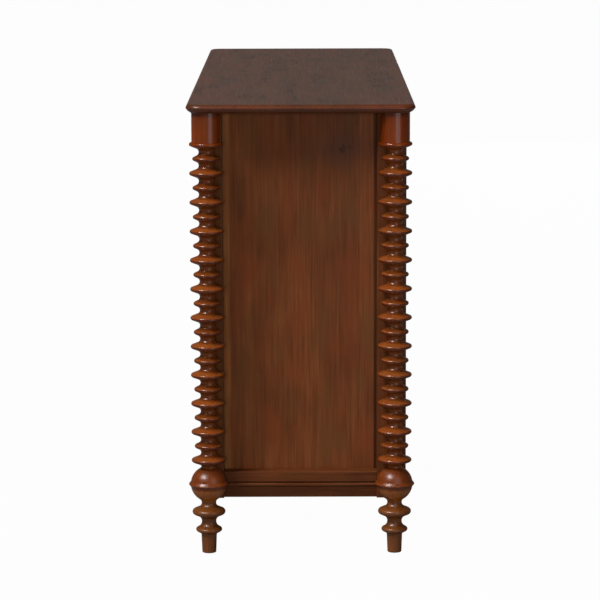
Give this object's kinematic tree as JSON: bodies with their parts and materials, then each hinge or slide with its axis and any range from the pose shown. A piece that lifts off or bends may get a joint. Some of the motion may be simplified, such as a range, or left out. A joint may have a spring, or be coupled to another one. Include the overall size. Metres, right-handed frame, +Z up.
{
  "type": "dresser",
  "caption": "Wide wooden dresser with a rounded top, spool-turned corner posts on ball and peg feet, recessed end panels and sliding drawers with turned knobs.",
  "frame": {"origin": "on the floor, under the middle of the top", "axes": "+X along the length, -Y out of the drawer fronts, +Z up"},
  "size_m": [1.38, 0.4, 0.801],
  "materials": {
    "stained_wood": "satin brown stain",
    "top_wood": "satin brown stain",
    "plain_wood": "clear lacquer",
    "plywood": "thin lacquer",
    "slide_steel": "zinc plated",
    "screw_steel": "zinc plated"
  },
  "bodies": {
    "case": {"post_front_left": "stained_wood", "post_front_right": "stained_wood", "post_rear_left": "stained_wood", "post_rear_right": "stained_wood", "end_panel_left": "stained_wood", "end_panel_right": "stained_wood", "front_stiles": "stained_wood", "rear_stiles": "stained_wood", "end_base_mouldings": "stained_wood", "front_base_rail": "stained_wood", "centre_partition": "stained_wood", "drawer_dividers": "stained_wood", "top_panel": "top_wood", "back_panel": "plywood", "case_bottom": "plywood", "top_rails": "plain_wood", "slide_case_members": "slide_steel", "case_screws": "screw_steel"},
    "drawer_1": {"drawer_1_front": "stained_wood", "drawer_1_sides": "plain_wood", "drawer_1_back": "plain_wood", "drawer_1_bottom": "plywood", "drawer_1_knobs": "stained_wood", "drawer_1_slides": "slide_steel", "drawer_1_screws": "screw_steel"},
    "drawer_2": {"drawer_2_front": "stained_wood", "drawer_2_sides": "plain_wood", "drawer_2_back": "plain_wood", "drawer_2_bottom": "plywood", "drawer_2_knobs": "stained_wood", "drawer_2_slides": "slide_steel", "drawer_2_screws": "screw_steel"},
    "drawer_3": {"drawer_3_front": "stained_wood", "drawer_3_sides": "plain_wood", "drawer_3_back": "plain_wood", "drawer_3_bottom": "plywood", "drawer_3_knobs": "stained_wood", "drawer_3_slides": "slide_steel", "drawer_3_screws": "screw_steel"},
    "drawer_4": {"drawer_4_front": "stained_wood", "drawer_4_sides": "plain_wood", "drawer_4_back": "plain_wood", "drawer_4_bottom": "plywood", "drawer_4_knobs": "stained_wood", "drawer_4_slides": "slide_steel", "drawer_4_screws": "screw_steel"},
    "drawer_5": {"drawer_5_front": "stained_wood", "drawer_5_sides": "plain_wood", "drawer_5_back": "plain_wood", "drawer_5_bottom": "plywood", "drawer_5_knobs": "stained_wood", "drawer_5_slides": "slide_steel", "drawer_5_screws": "screw_steel"},
    "drawer_6": {"drawer_6_front": "stained_wood", "drawer_6_sides": "plain_wood", "drawer_6_back": "plain_wood", "drawer_6_bottom": "plywood", "drawer_6_knobs": "stained_wood", "drawer_6_slides": "slide_steel", "drawer_6_screws": "screw_steel"}
  },
  "joints": [
    {"name": "drawer_1_slide", "type": "slide", "parent": "case", "child": "drawer_1", "axis": [0, -1, 0], "range_m": [0, 0.225]},
    {"name": "drawer_2_slide", "type": "slide", "parent": "case", "child": "drawer_2", "axis": [0, -1, 0], "range_m": [0, 0.225]},
    {"name": "drawer_3_slide", "type": "slide", "parent": "case", "child": "drawer_3", "axis": [0, -1, 0], "range_m": [0, 0.225]},
    {"name": "drawer_4_slide", "type": "slide", "parent": "case", "child": "drawer_4", "axis": [0, -1, 0], "range_m": [0, 0.225]},
    {"name": "drawer_5_slide", "type": "slide", "parent": "case", "child": "drawer_5", "axis": [0, -1, 0], "range_m": [0, 0.225]},
    {"name": "drawer_6_slide", "type": "slide", "parent": "case", "child": "drawer_6", "axis": [0, -1, 0], "range_m": [0, 0.225]}
  ]
}
